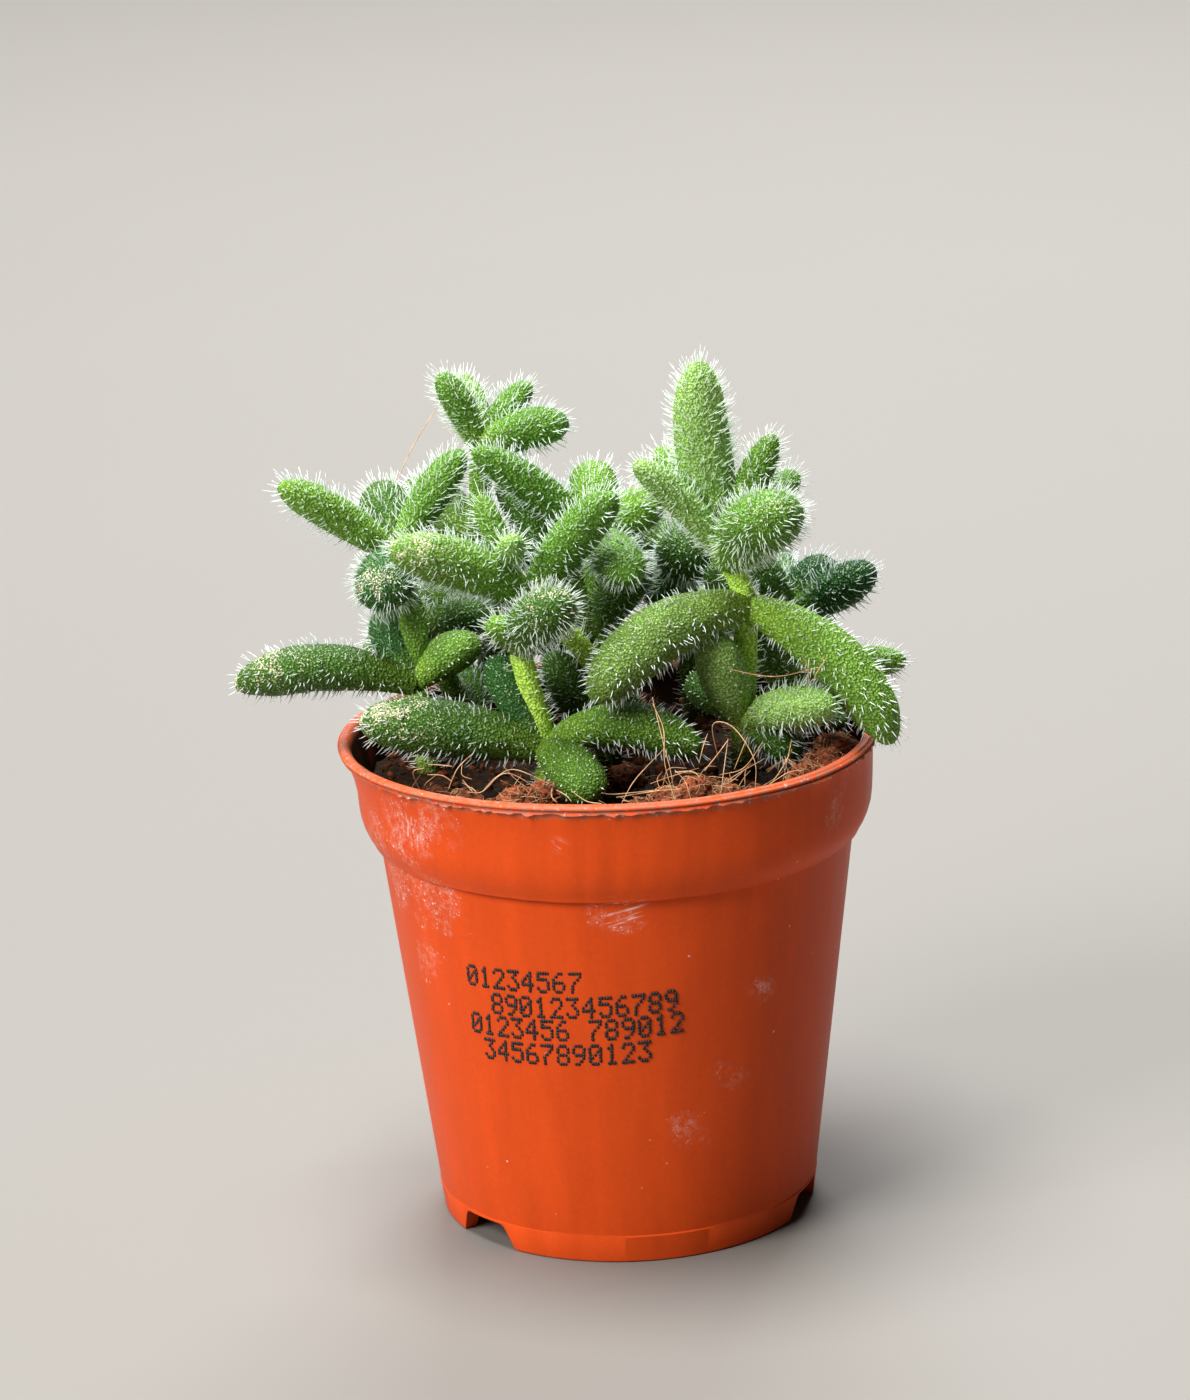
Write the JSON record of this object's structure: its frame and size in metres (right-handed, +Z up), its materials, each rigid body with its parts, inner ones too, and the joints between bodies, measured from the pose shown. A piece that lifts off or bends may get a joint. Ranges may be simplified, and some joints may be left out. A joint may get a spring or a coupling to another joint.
{
  "type": "potted pickle plant",
  "caption": "Small succulent of bristly, finger-shaped fleshy leaves on short stems, growing in a thin round moulded pot with a collar, a rolled lip and notched feet.",
  "frame": {"origin": "on the ground, under the middle of the whole plant's bounding box; the pot's own axis stands 3.5 mm to the right of it and 3.3 mm in front of it", "axes": "+Z up, +X to the viewer's right, +Y away from the viewer, so the side that faced the camera faces -Y"},
  "size_m": [0.0731, 0.0616, 0.0923],
  "materials": {
    "pot_plastic": "thin moulded plant-pot plastic, satin, terracotta orange",
    "growing_mix": "damp dark peat mix with lumps of brown coir and loose golden fibres",
    "leaf_fresh_green": "fleshy leaf skin, softly glistening, with white bristles",
    "leaf_blue_green": "fleshy leaf skin, softly glistening, with white bristles",
    "leaf_grass_green": "fleshy leaf skin, softly glistening, with white bristles",
    "leaf_deep_green": "fleshy leaf skin, softly glistening, with white bristles"
  },
  "bodies": {
    "root": {"pot": "pot_plastic", "soil": "growing_mix", "shoot_tall_right": "leaf_fresh_green", "shoot_right": "leaf_blue_green", "shoot_front": "leaf_grass_green", "shoot_left": "leaf_grass_green", "shoot_middle": "leaf_fresh_green", "shoot_upper_left": "leaf_deep_green", "shoot_back_left": "leaf_fresh_green", "shoot_back_middle": "leaf_grass_green", "shoot_back_right": "leaf_deep_green"}
  },
  "joints": []
}
